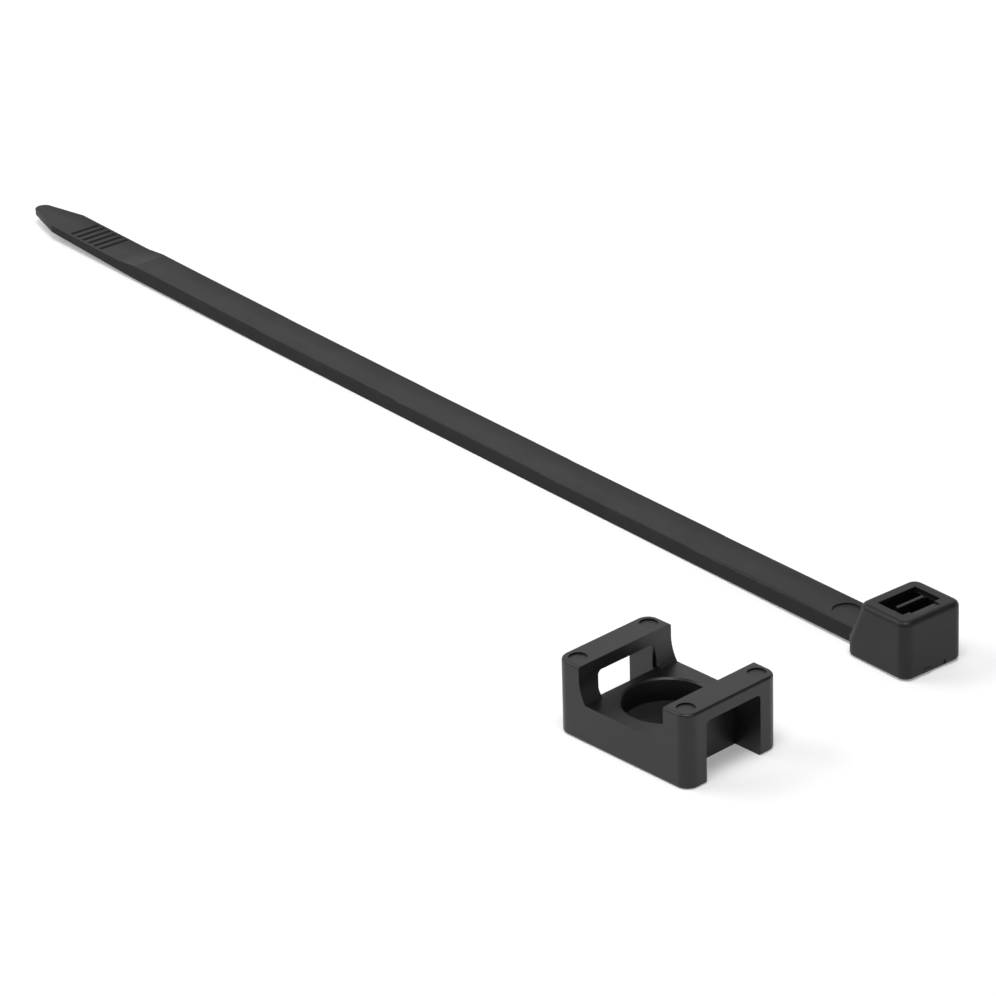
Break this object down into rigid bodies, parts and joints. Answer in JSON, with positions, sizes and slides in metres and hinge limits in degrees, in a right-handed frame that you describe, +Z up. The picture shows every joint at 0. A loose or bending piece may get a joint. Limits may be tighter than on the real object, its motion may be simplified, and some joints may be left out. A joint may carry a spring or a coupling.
{
  "type": "cable tie with screw mount",
  "caption": "Cable tie with a ratchet head, toothed strap and grooved tail, lying beside its saddle screw mount with a cradle, strap windows and a recessed screw hole.",
  "frame": {"origin": "the axis of the mount's screw hole where it meets the surface that both mouldings lie on", "axes": "+Z up from the surface, along the screw hole; +X along the screw mount, from one strap window to the other, with the tie's head at the +X end; +Y from the mount towards the tie"},
  "size_m": [0.1299, 0.039, 0.0068],
  "materials": {
    "mount_nylon": "satin moulded black nylon",
    "tie_nylon": "satin moulded black nylon"
  },
  "bodies": {
    "root": {"screw_mount": "mount_nylon", "cable_tie": "tie_nylon"}
  },
  "joints": []
}
